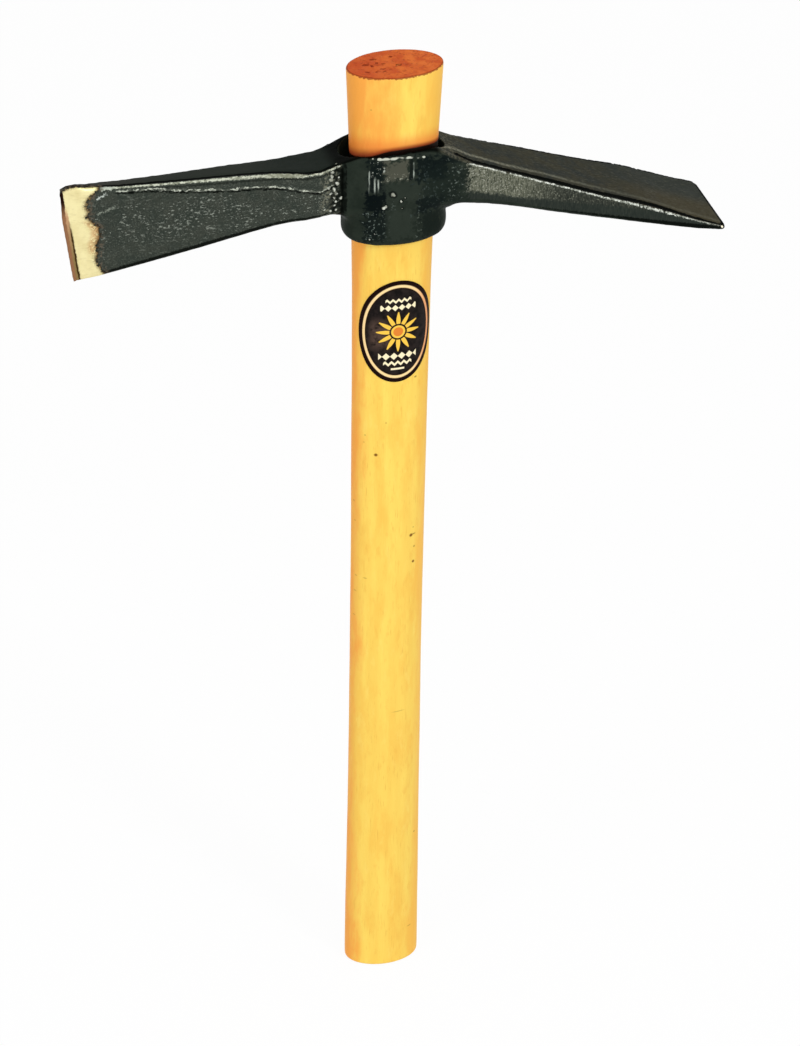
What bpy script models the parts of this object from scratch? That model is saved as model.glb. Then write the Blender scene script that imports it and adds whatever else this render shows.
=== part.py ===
# A mason's hammer: a forged steel head, with an axe blade and an adze blade, jammed on the swelled
# end of an oval wooden handle, which has an oval label on its front below the head.
# Metres, +Z up the handle, +X towards the adze, -Y towards the label.
# The origin is the centre of the handle's foot.

import math

import bmesh
import bpy

# Handle, an oval stick: widths run along X and thicknesses along Y
HANDLE_LENGTH = 0.400
FOOT_WIDTH = 0.0297
FOOT_THICKNESS = 0.0202
GRIP_HEIGHT = 0.142
GRIP_WIDTH = 0.0283
GRIP_THICKNESS = 0.0193
NECK_DROP = 0.030
NECK_WIDTH = 0.0299
NECK_THICKNESS = 0.0197
SEAT_WIDTH = 0.0310
SEAT_THICKNESS = 0.0202
RIM_WIDTH = 0.0338
RIM_THICKNESS = 0.0222
TOP_WIDTH = 0.0365
TOP_THICKNESS = 0.0231
FOOT_EDGE_RADIUS = 0.0015
TOP_EDGE_RADIUS = 0.0007
HANDLE_STAND_OUT = 0.0295

# Collar round the eye, an oval whose rim is highest at the front and back. Its skirt is what
# reaches below the adze's root, and its walls are taken from the eye outwards
SKIRT_HEIGHT = 0.0136
SKIRT_END_WALL = 0.0036
RIM_FLANK_WALL = 0.0017
COLLAR_SQUARENESS = 2.2
COLLAR_LOWER_RADIUS = 0.0028
RIM_SET_IN = 0.0032
RIM_DROP = 0.0042
RIM_SHOULDER_REACH = 0.0130
RIM_SHOULDER_DROP = 0.0010
RIM_AXE_END_DROP = 0.0030
RIM_ADZE_END_DROP = 0.0052
SEAT_CLEARANCE = 0.0003
EYE_AXE_GAP = 0.0047
EYE_ADZE_GAP = 0.0027
EYE_FLANK_GAP = 0.0010

# The bar that runs through the collar and stands out beyond it as the two blades' roots
BAR_TOP_DROP = 0.0002
BAR_SET_IN = 0.0007
AXE_CHEEK_REACH = 0.0180
AXE_CHEEK_SET_IN = 0.0034
ADZE_CHEEK_REACH = 0.0140
ADZE_CHEEK_SET_IN = 0.0013

# Axe blade, its cutting edge upright: reaches run along X from the handle's axis, and drops
# run down from the collar's top
AXE_REACH = 0.1257
AXE_LEAN = 0.0055
AXE_BEVEL_WIDTH = 0.0030
AXE_END_WIDTH = 0.0080
AXE_NECK_REACH = 0.0460
AXE_SHOULDER_REACH = 0.0330
AXE_ROOT_REACH = 0.0300
AXE_WAIST_REACH = 0.0260
AXE_EDGE_THICKNESS = 0.0007
AXE_BEVEL_THICKNESS = 0.0030
AXE_END_THICKNESS = 0.0050
AXE_NECK_THICKNESS = 0.0128
AXE_SHOULDER_THICKNESS = 0.0194
AXE_WAIST_THICKNESS = 0.0174
AXE_TOE_DROP = 0.0049
AXE_HEEL_DROP = 0.0433
AXE_ROOT_DROP = 0.0072
AXE_ROOT_UNDER_DROP = 0.0240
AXE_RIDGE_SET_IN = 0.0013
AXE_RIDGE_DROP = 0.0044
AXE_END_RIDGE_DROP = 0.0022
AXE_LOWER_RADIUS = 0.0012
AXE_FILLET_REACH = 0.0090
AXE_FILLET_DEPTH = 0.0060

# Adze blade, its cutting edge level
ADZE_REACH = 0.1247
ADZE_MIDDLE_REACH = 0.0950
ADZE_ROOT_REACH = 0.0270
ADZE_EDGE_WIDTH = 0.0374
ADZE_MIDDLE_WIDTH = 0.0347
ADZE_ROOT_WIDTH = 0.0242
ADZE_EDGE_DROP = 0.0454
ADZE_EDGE_THICKNESS = 0.0016
ADZE_ROOT_DROP = 0.0087
ADZE_ROOT_UNDER_DROP = 0.0254
ADZE_OUTLINE_RADIUS = 0.0030
ADZE_NECK_REACH = 0.0500
ADZE_ROOT_RIDGE_SET_IN = 0.0026
ADZE_ROOT_RIDGE_DROP = 0.0024
ADZE_RIDGE_SET_IN = 0.0013
ADZE_RIDGE_DROP = 0.0016
ADZE_LOWER_SET_IN = 0.0035
ADZE_LOWER_RISE = 0.0050
ADZE_EDGE_RADIUS = 0.0005
ADZE_FILLET_REACH = 0.0045
ADZE_FILLET_DEPTH = 0.0046

# Label, an oval wrapped round the handle's front
LABEL_WIDTH = 0.0310
LABEL_HEIGHT = 0.0433
LABEL_DROP = 0.0164
LABEL_THICKNESS = 0.0003
LABEL_CLEARANCE = 0.0003

# How finely the shapes are cut
OVAL_SIDES = 64
ARC_STEPS = 4
HANDLE_STEPS = 30
EYE_STEPS = 8
BLADE_STEPS = 16
COLLAR_STEPS = 14
LABEL_RINGS = 5
LABEL_SIDES = 48
WRAP_STEPS = 24
CUTTER_OVERSHOOT = 0.004
NEAREST_SECTIONS = 0.0002
BEND_SHARE = 0.4
SHARP_ANGLE = math.radians(30)

COLLAR_TOP = HANDLE_LENGTH - HANDLE_STAND_OUT
COLLAR_HEIGHT = ADZE_ROOT_UNDER_DROP + SKIRT_HEIGHT
COLLAR_BOTTOM = COLLAR_TOP - COLLAR_HEIGHT
COLLAR_WIDTH = SEAT_WIDTH + 2 * (SEAT_CLEARANCE + SKIRT_END_WALL)
COLLAR_THICKNESS = RIM_THICKNESS + 2 * (EYE_FLANK_GAP + RIM_FLANK_WALL)
KEEL_LIMIT = SKIRT_HEIGHT - COLLAR_LOWER_RADIUS


# A smooth curve through (place, value) stations, which never overshoots them
def curve_through(*given):
    stations = sorted(given)
    pairs = list(zip(stations, stations[1:]))
    slopes = [(after[1] - before[1]) / (after[0] - before[0]) for before, after in pairs]
    tangents = [slopes[0]]
    for before, after in zip(slopes, slopes[1:]):
        same_way = before * after > 0
        tangents.append(2 * before * after / (before + after) if same_way else 0.0)
    tangents.append(slopes[-1])

    def value(place):
        index = sum(1 for station in stations[1:-1] if place > station[0])
        (start, low), (end, high) = pairs[index]
        share = min(max((place - start) / (end - start), 0.0), 1.0)
        pull = (1 - share) * tangents[index] - share * tangents[index + 1]
        bend = share * (1 - share) * (end - start) * pull
        return low + (high - low) * share * share * (3 - 2 * share) + bend

    return value


# Straight runs between (place, value) stations, with each bend rounded off beside its station
def bent_line(*given):
    stations = sorted(given)
    pairs = list(zip(stations, stations[1:]))
    slopes = [(after[1] - before[1]) / (after[0] - before[0]) for before, after in pairs]
    bends = []
    for index, (place, _) in enumerate(stations[1:-1], start=1):
        shorter = min(place - stations[index - 1][0], stations[index + 1][0] - place)
        bends.append((place, slopes[index] - slopes[index - 1], BEND_SHARE * shorter))

    def value(place):
        place = min(max(place, stations[0][0]), stations[-1][0])
        total = stations[0][1] + slopes[0] * (place - stations[0][0])
        for bend, turn, reach in bends:
            past = place - bend
            if past > reach:
                total += turn * past
            elif past > -reach:
                total += turn * (past + reach) ** 2 / (4 * reach)
        return total

    return value


def straight(start, end, share):
    return start + (end - start) * min(max(share, 0.0), 1.0)


def spaced(start, end, count):
    return [start + (end - start) * step / count for step in range(count + 1)]


# Quarter of a rounding, as (distance in from the side, distance in from the end) pairs
def rounding(set_in, drop, steps=ARC_STEPS):
    angles = [0.5 * math.pi * step / steps for step in range(steps + 1)]
    return [(set_in * (1 - math.sin(angle)), drop * (1 - math.cos(angle))) for angle in angles]


# A ring of points on an oval: a squareness of 2 is an ellipse, and more is boxier
def oval(half_width, half_thickness, z, squareness=2.0):
    ring = []
    for index in range(OVAL_SIDES):
        angle = 2 * math.pi * index / OVAL_SIDES
        across = math.cos(angle)
        along = math.sin(angle)
        radius = (abs(across) ** squareness + abs(along) ** squareness) ** (-1 / squareness)
        ring.append((half_width * across * radius, half_thickness * along * radius, z))
    return ring


# A closed body through rings of points, with a flat face at each end
def loft(name, rings):
    shape = bmesh.new()
    rows = [[shape.verts.new(point) for point in ring] for ring in rings]
    for row, following_row in zip(rows, rows[1:]):
        for index in range(len(row)):
            following = (index + 1) % len(row)
            corners = (row[index], row[following], following_row[following], following_row[index])
            shape.faces.new(corners)
    shape.faces.new(rows[0])
    shape.faces.new(rows[-1])
    bmesh.ops.recalc_face_normals(shape, faces=shape.faces)
    mesh = bpy.data.meshes.new(name)
    shape.to_mesh(mesh)
    shape.free()
    return bpy.data.objects.new(name, mesh)


def new_collection(name):
    collection = bpy.data.collections.new(name)
    bpy.context.scene.collection.children.link(collection)
    return collection


def new_material(name, color, roughness, metallic=0.0):
    material = bpy.data.materials.new(name)
    material.use_nodes = True
    shader = material.node_tree.nodes["Principled BSDF"]
    shader.inputs["Base Color"].default_value = (*color, 1.0)
    shader.inputs["Roughness"].default_value = roughness
    shader.inputs["Metallic"].default_value = metallic
    return material


def finish(part, collection, material):
    collection.objects.link(part)
    part.data.materials.append(material)
    part.data.shade_smooth()
    part.data.set_sharp_from_angle(angle=SHARP_ANGLE)


def combine(part, other, operation, cutters):
    cutters.objects.link(other)
    other.hide_render = True
    other.display_type = "WIRE"
    modifier = part.modifiers.new(other.name, "BOOLEAN")
    modifier.operation = operation
    modifier.solver = "EXACT"
    modifier.object = other


# Handle
handle_width = curve_through(
    (0.0, FOOT_WIDTH),
    (GRIP_HEIGHT, GRIP_WIDTH),
    (COLLAR_BOTTOM - NECK_DROP, NECK_WIDTH),
    (COLLAR_BOTTOM, SEAT_WIDTH),
    (COLLAR_TOP, RIM_WIDTH),
    (HANDLE_LENGTH, TOP_WIDTH),
)

handle_thickness = curve_through(
    (0.0, FOOT_THICKNESS),
    (GRIP_HEIGHT, GRIP_THICKNESS),
    (COLLAR_BOTTOM - NECK_DROP, NECK_THICKNESS),
    (COLLAR_BOTTOM, SEAT_THICKNESS),
    (COLLAR_TOP, RIM_THICKNESS),
    (HANDLE_LENGTH, TOP_THICKNESS),
)


def handle_ring(z, outset=(0.0, 0.0)):
    return oval(handle_width(z) / 2 + outset[0], handle_thickness(z) / 2 + outset[1], z)


def make_handle():
    foot = [
        handle_ring(drop, (-inset, -inset))
        for inset, drop in rounding(FOOT_EDGE_RADIUS, FOOT_EDGE_RADIUS)
    ]
    top = [
        handle_ring(HANDLE_LENGTH - drop, (-inset, -inset))
        for inset, drop in rounding(TOP_EDGE_RADIUS, TOP_EDGE_RADIUS)
    ]
    heights = spaced(FOOT_EDGE_RADIUS, HANDLE_LENGTH - TOP_EDGE_RADIUS, HANDLE_STEPS)
    sides = [handle_ring(z) for z in heights[1:-1]]
    return loft("handle", foot + sides + top[::-1])


# Head: the height of its top along X, over the collar and out along both blades
head_top = bent_line(
    (-AXE_REACH, COLLAR_TOP - AXE_TOE_DROP),
    (-AXE_ROOT_REACH, COLLAR_TOP - AXE_ROOT_DROP),
    (-COLLAR_WIDTH / 2, COLLAR_TOP - RIM_AXE_END_DROP),
    (-RIM_SHOULDER_REACH, COLLAR_TOP - RIM_SHOULDER_DROP),
    (0.0, COLLAR_TOP),
    (RIM_SHOULDER_REACH, COLLAR_TOP - RIM_SHOULDER_DROP),
    (COLLAR_WIDTH / 2, COLLAR_TOP - RIM_ADZE_END_DROP),
    (ADZE_ROOT_REACH, COLLAR_TOP - ADZE_ROOT_DROP),
    (ADZE_REACH, COLLAR_TOP - ADZE_EDGE_DROP),
)


def collar_ring(inset, z):
    return oval(COLLAR_WIDTH / 2 - inset, COLLAR_THICKNESS / 2 - inset, z, COLLAR_SQUARENESS)


# The collar's outside, rounded below and at the rim
def make_collar():
    lower = [
        collar_ring(inset, COLLAR_BOTTOM + rise)
        for inset, rise in rounding(COLLAR_LOWER_RADIUS, COLLAR_LOWER_RADIUS)
    ]
    rim = [
        [(x, y, head_top(x) - drop) for x, y, _ in collar_ring(inset, COLLAR_TOP)]
        for inset, drop in rounding(RIM_SET_IN, RIM_DROP)
    ]
    return loft("head", lower + rim[::-1])


# The eye follows the handle, tight at the collar's foot and open at its rim, most at the axe
def make_eye():
    rings = []
    for z in spaced(COLLAR_BOTTOM - CUTTER_OVERSHOOT, COLLAR_TOP + CUTTER_OVERSHOOT, EYE_STEPS):
        share = (z - COLLAR_BOTTOM) / COLLAR_HEIGHT
        axe_gap = straight(SEAT_CLEARANCE, EYE_AXE_GAP, share)
        adze_gap = straight(SEAT_CLEARANCE, EYE_ADZE_GAP, share)
        flank_gap = straight(SEAT_CLEARANCE, EYE_FLANK_GAP, share)
        ring = handle_ring(z, ((axe_gap + adze_gap) / 2, flank_gap))
        rings.append([(x + (adze_gap - axe_gap) / 2, y, z) for x, y, z in ring])
    return loft("eye", rings)


# The blades and what joins them through the collar are one bar, whose section changes along X
bar_thickness = bent_line(
    (-AXE_REACH, AXE_EDGE_THICKNESS),
    (-AXE_REACH + AXE_BEVEL_WIDTH, AXE_BEVEL_THICKNESS),
    (-AXE_REACH + AXE_END_WIDTH, AXE_END_THICKNESS),
    (-AXE_NECK_REACH, AXE_NECK_THICKNESS),
    (-AXE_SHOULDER_REACH, AXE_SHOULDER_THICKNESS),
    (-AXE_WAIST_REACH, AXE_WAIST_THICKNESS),
    (-AXE_CHEEK_REACH, COLLAR_THICKNESS - 2 * AXE_CHEEK_SET_IN),
    (0.0, COLLAR_THICKNESS - 2 * BAR_SET_IN),
    (ADZE_CHEEK_REACH, COLLAR_THICKNESS - 2 * ADZE_CHEEK_SET_IN),
    (ADZE_ROOT_REACH, ADZE_ROOT_WIDTH),
    (ADZE_MIDDLE_REACH, ADZE_MIDDLE_WIDTH),
    (ADZE_REACH, ADZE_EDGE_WIDTH),
)

under_line = bent_line(
    (-AXE_REACH, COLLAR_TOP - AXE_HEEL_DROP),
    (-AXE_ROOT_REACH, COLLAR_TOP - AXE_ROOT_UNDER_DROP),
    (ADZE_ROOT_REACH, COLLAR_TOP - ADZE_ROOT_UNDER_DROP),
    (ADZE_REACH, COLLAR_TOP - ADZE_EDGE_DROP - ADZE_EDGE_THICKNESS),
)

ridge_set_in = bent_line(
    (-AXE_WAIST_REACH, AXE_RIDGE_SET_IN),
    (0.0, RIM_SET_IN),
    (ADZE_ROOT_REACH, ADZE_ROOT_RIDGE_SET_IN),
    (ADZE_NECK_REACH, ADZE_RIDGE_SET_IN),
)

ridge_drop = bent_line(
    (-AXE_REACH + AXE_END_WIDTH, AXE_END_RIDGE_DROP),
    (-AXE_NECK_REACH, AXE_RIDGE_DROP),
    (0.0, RIM_DROP),
    (ADZE_ROOT_REACH, ADZE_ROOT_RIDGE_DROP),
    (ADZE_NECK_REACH, ADZE_RIDGE_DROP),
)

lower_set_in = bent_line(
    (-AXE_ROOT_REACH, AXE_LOWER_RADIUS),
    (ADZE_ROOT_REACH, ADZE_LOWER_SET_IN),
    (ADZE_REACH, ADZE_EDGE_RADIUS),
)

lower_rise = bent_line(
    (-AXE_ROOT_REACH, AXE_LOWER_RADIUS),
    (ADZE_ROOT_REACH, ADZE_LOWER_RISE),
    (ADZE_REACH, ADZE_EDGE_RADIUS),
)


# How much of an oval fillet is left at a distance along its reach, from 1 down to 0
def fillet_share(reach, distance):
    left = 1 - min(max(distance / reach, 0.0), 1.0)
    return 1 - math.sqrt(1 - left * left)


# One section of the bar: each top edge is a rounded ridge and each lower edge is rounded, and
# under the blades' roots the section deepens into a keel that runs down into the collar
def bar_ring(x):
    reach = ADZE_FILLET_REACH if x > 0 else AXE_FILLET_REACH
    depth = min(ADZE_FILLET_DEPTH if x > 0 else AXE_FILLET_DEPTH, KEEL_LIMIT)
    keel = fillet_share(reach, abs(x) - COLLAR_WIDTH / 2)
    outline_corner = ADZE_OUTLINE_RADIUS * fillet_share(ADZE_OUTLINE_RADIUS, ADZE_REACH - x)
    top = head_top(x) - BAR_TOP_DROP
    bottom = under_line(x) - depth * keel
    half = bar_thickness(x) / 2 - outline_corner
    middle = (top - bottom) / 2
    lower_in = straight(lower_set_in(x), half, keel)
    lower_up = lower_rise(x) + depth * keel
    upper = rounding(min(ridge_set_in(x), half), min(ridge_drop(x), middle))
    lower = rounding(min(lower_in, half), min(lower_up, middle))
    side = [(half - inset, top - drop) for inset, drop in upper]
    side += [(half - inset, bottom + rise) for inset, rise in lower][::-1]
    ring = side + [(-y, z) for y, z in side[::-1]]
    lean = AXE_LEAN * min(max((-x - AXE_ROOT_REACH) / (AXE_REACH - AXE_ROOT_REACH), 0.0), 1.0)
    return [(x + lean * (top - z) / (top - bottom), y, z) for y, z in ring]


# Sections lie closest where the outline bends: at the edges, the fillets and the corners
def make_bar():
    collar_end = COLLAR_WIDTH / 2
    places = [-AXE_REACH]
    places += spaced(-AXE_REACH + AXE_BEVEL_WIDTH, -AXE_ROOT_REACH, BLADE_STEPS)
    places += [-collar_end - reach for reach, _ in rounding(AXE_FILLET_REACH, 0.0)]
    places += spaced(-collar_end, collar_end, COLLAR_STEPS)
    places += [collar_end + reach for reach, _ in rounding(ADZE_FILLET_REACH, 0.0)]
    places += spaced(ADZE_ROOT_REACH, ADZE_REACH - ADZE_OUTLINE_RADIUS, BLADE_STEPS)
    places += [ADZE_REACH - reach for reach, _ in rounding(ADZE_OUTLINE_RADIUS, 0.0)]
    sections = []
    for place in sorted(places):
        if not sections or place - sections[-1] > NEAREST_SECTIONS:
            sections.append(place)
    return loft("bar", [bar_ring(x) for x in sections])


# Label: a flat oval laid round the handle's front, each point by its distance round and up
def wrap_angle(distance, half_width, half_thickness):
    angle = 0.0
    for _ in range(WRAP_STEPS):
        pace = math.hypot(half_width * math.cos(angle), half_thickness * math.sin(angle))
        angle += distance / WRAP_STEPS / pace
    return angle


def label_point(distance, z):
    half_width = handle_width(z) / 2 + LABEL_CLEARANCE
    half_thickness = handle_thickness(z) / 2 + LABEL_CLEARANCE
    angle = wrap_angle(distance, half_width, half_thickness)
    return (half_width * math.sin(angle), -half_thickness * math.cos(angle), z)


def make_label():
    center = COLLAR_BOTTOM - LABEL_DROP - LABEL_HEIGHT / 2
    shape = bmesh.new()
    middle = shape.verts.new(label_point(0.0, center))
    rows = []
    for ring in range(1, LABEL_RINGS + 1):
        share = ring / LABEL_RINGS
        row = []
        for index in range(LABEL_SIDES):
            angle = 2 * math.pi * index / LABEL_SIDES
            distance = share * LABEL_WIDTH / 2 * math.cos(angle)
            rise = share * LABEL_HEIGHT / 2 * math.sin(angle)
            row.append(shape.verts.new(label_point(distance, center + rise)))
        rows.append(row)
    for index in range(LABEL_SIDES):
        following = (index + 1) % LABEL_SIDES
        shape.faces.new((middle, rows[0][index], rows[0][following]))
        for inner, outer in zip(rows, rows[1:]):
            shape.faces.new((inner[index], outer[index], outer[following], inner[following]))
    mesh = bpy.data.meshes.new("label")
    shape.to_mesh(mesh)
    shape.free()
    label = bpy.data.objects.new("label", mesh)
    wall = label.modifiers.new("thickness", "SOLIDIFY")
    wall.thickness = LABEL_THICKNESS
    wall.offset = 1.0
    return label


def main():
    for item in list(bpy.data.objects):
        bpy.data.objects.remove(item, do_unlink=True)
    parts = new_collection("masons_hammer")
    cutters = new_collection("cutters")
    handle = make_handle()
    finish(handle, parts, new_material("wood", (0.80, 0.55, 0.16), 0.45))
    head = make_collar()
    combine(head, make_bar(), "UNION", cutters)
    combine(head, make_eye(), "DIFFERENCE", cutters)
    finish(head, parts, new_material("black_paint", (0.02, 0.025, 0.022), 0.40))
    label = make_label()
    finish(label, parts, new_material("label_paper", (0.03, 0.02, 0.02), 0.35))


main()
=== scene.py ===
import bisect
import functools
import math

import bpy
from mathutils import Matrix, Vector, noise


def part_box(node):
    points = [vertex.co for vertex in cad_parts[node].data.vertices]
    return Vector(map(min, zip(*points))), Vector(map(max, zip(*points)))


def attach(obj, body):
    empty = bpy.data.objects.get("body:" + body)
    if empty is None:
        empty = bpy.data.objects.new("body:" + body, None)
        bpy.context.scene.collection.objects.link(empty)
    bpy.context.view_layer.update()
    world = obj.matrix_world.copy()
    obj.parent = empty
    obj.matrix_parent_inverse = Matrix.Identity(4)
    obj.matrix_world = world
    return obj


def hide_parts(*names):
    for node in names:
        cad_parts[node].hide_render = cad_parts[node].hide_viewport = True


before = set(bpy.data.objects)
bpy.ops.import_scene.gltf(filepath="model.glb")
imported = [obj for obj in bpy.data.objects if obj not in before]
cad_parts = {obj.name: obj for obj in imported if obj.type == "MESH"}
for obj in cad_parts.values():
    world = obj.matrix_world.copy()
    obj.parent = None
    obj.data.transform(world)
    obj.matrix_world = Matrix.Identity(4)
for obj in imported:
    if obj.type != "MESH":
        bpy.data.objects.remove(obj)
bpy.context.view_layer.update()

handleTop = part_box("handle")[1].z
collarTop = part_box("head")[1].z
print("frame loaded:", ", ".join(sorted(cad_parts)))


# Helpers for meshes

def only(piece):                     # deselects everything else
    if bpy.context.object and bpy.context.object.mode != "OBJECT":
        bpy.ops.object.mode_set(mode="OBJECT")
    bpy.ops.object.select_all(action="DESELECT")
    piece.select_set(True)
    bpy.context.view_layer.objects.active = piece


def editAll(piece, operation, **options):                 # runs it on the whole mesh
    only(piece)
    bpy.ops.object.mode_set(mode="EDIT")
    bpy.ops.mesh.select_all(action="SELECT")
    operation(**options)
    bpy.ops.object.mode_set(mode="OBJECT")


def applyModifiers(piece):
    only(piece)
    for modifier in list(piece.modifiers):
        bpy.ops.object.modifier_apply(modifier=modifier.name)


def smoothed(piece):                 # shaded without sharp edges
    only(piece)
    bpy.ops.object.shade_smooth()
    print(piece.name, len(piece.data.polygons), "faces")
    return piece


def copyOfNode(node, name):          # a welded copy of a CAD node, to rework
    piece = bpy.data.objects.new(name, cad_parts[node].data.copy())
    bpy.context.scene.collection.objects.link(piece)
    piece.data.materials.clear()
    editAll(piece, bpy.ops.mesh.remove_doubles, threshold=1e-6)
    return piece


def between(points, place):          # straight lines through (place, value) points
    index = min(max(bisect.bisect_left(points, (place,)), 1), len(points) - 1)
    (start, low), (end, high) = points[index - 1:index + 1]
    share = min(max((place - start) / (end - start), 0.0), 1.0)
    return low + (high - low) * share


def ramp(value, low, high):          # 0 at low and 1 at high, smooth between them
    share = min(max((value - low) / (high - low), 0.0), 1.0)
    return share * share * (3 - 2 * share)


def peak(value, centre, width):
    return math.exp(-((value - centre) / width) ** 2)


def lumpy(place, size, stretch=(1.0, 1.0, 1.0)):          # noise from -1 to 1
    return noise.noise(Vector([place[axis] / size / stretch[axis] for axis in range(3)]))


def paintWeights(piece, name, weightOf):                  # keeps a weight for the material
    weights = [weightOf(vertex.co, vertex.normal) for vertex in piece.data.vertices]
    layer = piece.data.attributes.new(name, "FLOAT", "POINT")
    layer.data.foreach_set("value", weights)
    return weights


def gather(piece, name, weights, least=0.0):              # a vertex group of the weights over least
    touched = [(index, weight) for index, weight in enumerate(weights) if weight > least]
    group = piece.vertex_groups.new(name=name)
    for index, weight in touched:
        group.add([index], weight, "REPLACE")
    print("  weighed", name, len(touched), "points")
    return group.name


def sculpt(piece, depth, weightOf, direction="NORMAL"):   # pushes the surface by depth
    name = weightOf.__name__
    weights = paintWeights(piece, name, weightOf)
    push = piece.modifiers.new(name, "DISPLACE")
    push.direction = direction
    push.strength = depth
    push.mid_level = 0.0
    push.vertex_group = gather(piece, name, weights, 0.004)
    applyModifiers(piece)
    piece.vertex_groups.clear()


def ripple(piece, name, size, height):                    # gives it low uneven waves
    cloud = bpy.data.textures.new(name, "CLOUDS")
    cloud.noise_scale = size
    wave = piece.modifiers.new(name, "DISPLACE")
    wave.texture = cloud
    wave.strength = 2 * height
    return wave


# Helpers for materials

def colour(red, green, blue):        # screen values from 0 to 255, made linear
    shares = [value / 255 for value in (red, green, blue)]
    linear = [share / 12.92 if share < 0.04 else ((share + 0.055) / 1.055) ** 2.4 for share in shares]
    return (*linear, 1.0)


class Wire:                          # a node's output, so that sums of outputs are written as sums
    def __init__(self, socket):
        self.socket = socket
        self.tree = socket.id_data

    def __add__(self, other):
        return maths("ADD", self, other)

    def __sub__(self, other):
        return maths("SUBTRACT", self, other)

    def __rsub__(self, other):
        return maths("SUBTRACT", other, self)

    def __mul__(self, other):
        return maths("MULTIPLY", self, other)

    def __truediv__(self, other):
        return maths("DIVIDE", self, other)

    def __abs__(self):
        return maths("ABSOLUTE", self)


def fill(node, inputs):              # links the wires and sets the constants
    for name, value in inputs.items():
        if isinstance(value, Wire):
            value.tree.links.new(value.socket, node.inputs[name])
        else:
            node.inputs[name].default_value = value


def addNode(tree, kind, inputs=None, output=0, **settings):
    node = tree.nodes.new("ShaderNode" + kind)
    for name, value in settings.items():
        setattr(node, name, value)
    fill(node, inputs or {})
    return Wire(node.outputs[output])


def maths(operation, *values):
    tree = next(value.tree for value in values if isinstance(value, Wire))
    return addNode(tree, "Math", dict(enumerate(values)), operation=operation)


def most(*values):
    return functools.reduce(lambda first, second: maths("MAXIMUM", first, second), values)


def vector(operation, first, second=(0.0, 0.0, 0.0)):
    output = "Value" if operation in ("LENGTH", "DISTANCE") else "Vector"
    return addNode(first.tree, "VectorMath", {0: first, 1: second}, output, operation=operation)


def parts(wire):                     # its X, Y and Z
    first = addNode(wire.tree, "SeparateXYZ", {0: wire})
    return [Wire(output) for output in first.socket.node.outputs]


def rise(value, low, high, start=0.0, end=1.0):           # from start to end, smooth between
    inputs = {"Value": value, "From Min": low, "From Max": high, "To Min": start, "To Max": end}
    return addNode(value.tree, "MapRange", inputs, interpolation_type="SMOOTHSTEP")


def blend(share, first, second):
    return addNode(share.tree, "Mix", {0: share, 6: first, 7: second}, 2, data_type="RGBA")


def shades(share, first, second):    # between two colours
    return blend(share, colour(*first), colour(*second))


def over(base, share, red, green, blue):                  # lays a colour over the base
    return blend(share, base, colour(red, green, blue))


def grain(place, size, stretch=(1.0, 1.0, 1.0), detail=3.0, rough=0.5):
    scale = [1 / size / share for share in stretch]
    scaled = addNode(place.tree, "Mapping", {"Vector": place, "Scale": scale})
    inputs = {"Vector": scaled, "Scale": 1.0, "Detail": detail, "Roughness": rough}
    return addNode(place.tree, "TexNoise", inputs)


def painted(tree, name):             # a weight kept on the mesh
    return addNode(tree, "Attribute", output="Fac", attribute_name=name)


def startMaterial(name, coordinates="Object"):
    material = bpy.data.materials.new(name)
    material.use_nodes = True
    tree = material.node_tree
    place = addNode(tree, "TexCoord", output=coordinates)
    normal = addNode(tree, "TexCoord", output="Normal")
    return material, tree, place, normal


def finishShader(tree, height, distance, inputs):
    bump = addNode(tree, "Bump", {"Height": height, "Distance": distance, "Strength": 1.0})
    fill(tree.nodes["Principled BSDF"], {"Normal": bump, **inputs})


# The head: a fine copy of the forging, with its fillets, burrs and lumps

headShape = {
    "voxel": 0.0004,                 # fineness while it is sculpted
    "triangles": 190000,             # what is kept of them
    "rounds": {"body": 4, "fillets": 60, "toe": 30},      # of smoothing, zone by zone
    "bodyEnd": (0.1190, 0.1150),     # along X, the cutting edges past this stay sharp
    "hammerEnd": (0.1242, 0.1225),   # and their last millimetre isn't hammered
    "filletFrom": (0.0095, 0.0115),  # where the blades leave the collar
    "filletTo": (0.0280, 0.0250),
    "filletDrop": (0.0170, 0.0190),  # the fillets lie lower than this under the top
    "toeReach": (0.0028, 0.0018),    # how far the axe's upper corner is worn round
    "toeRise": 0.0016,               # how much taller the axe's end is at most
    "waves": (0.011, 0.00009),       # size and height of the hammered waves
    "dimples": (0.0032, 0.00006),
}


def reachAlong(node, towards, step=0.001):                # outline of a node along X
    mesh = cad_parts[node].data
    best = {}
    for edge in mesh.edges:
        near, far = sorted((mesh.vertices[index].co for index in edge.vertices), key=lambda place: place.x)
        for stop in range(math.ceil(near.x / step), math.floor(far.x / step) + 1):
            share = (stop * step - near.x) / max(far.x - near.x, 1e-9)
            reach = towards.dot(near.lerp(far, share))
            best[stop] = max(best.get(stop, -1.0), reach)
    return sorted((stop * step, reach) for stop, reach in best.items())


topLine = reachAlong("head", Vector((0, 0, 1)))
sideLine = reachAlong("head", Vector((0, -1, 0)))
footLine = reachAlong("head", Vector((0, 0, -1)))
toeCorner = Vector((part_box("head")[0].x, 0.0, topLine[0][1]))
axeRoot = -0.0225                    # where the axe's cheek meets the collar
adzeRoot = 0.0240
beadWide = [                         # half width of the bead along the axe's upper edge
    (-0.1105, 0.0006), (-0.1080, 0.0011), (-0.1055, 0.0009), (-0.1030, 0.0006), (-0.0520, 0.0006),
    (-0.0430, 0.0009), (-0.0370, 0.0009), (-0.0335, 0.0006), (axeRoot, 0.0006),
]
crestIn = [                          # how far inside the edge the dark line beside it runs
    (-0.1245, 0.0010), (-0.1175, 0.0019), (-0.1070, 0.0022), (-0.0630, 0.0025), (-0.0420, 0.0029),
    (-0.0330, 0.0022), (axeRoot, 0.0020),
]
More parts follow.
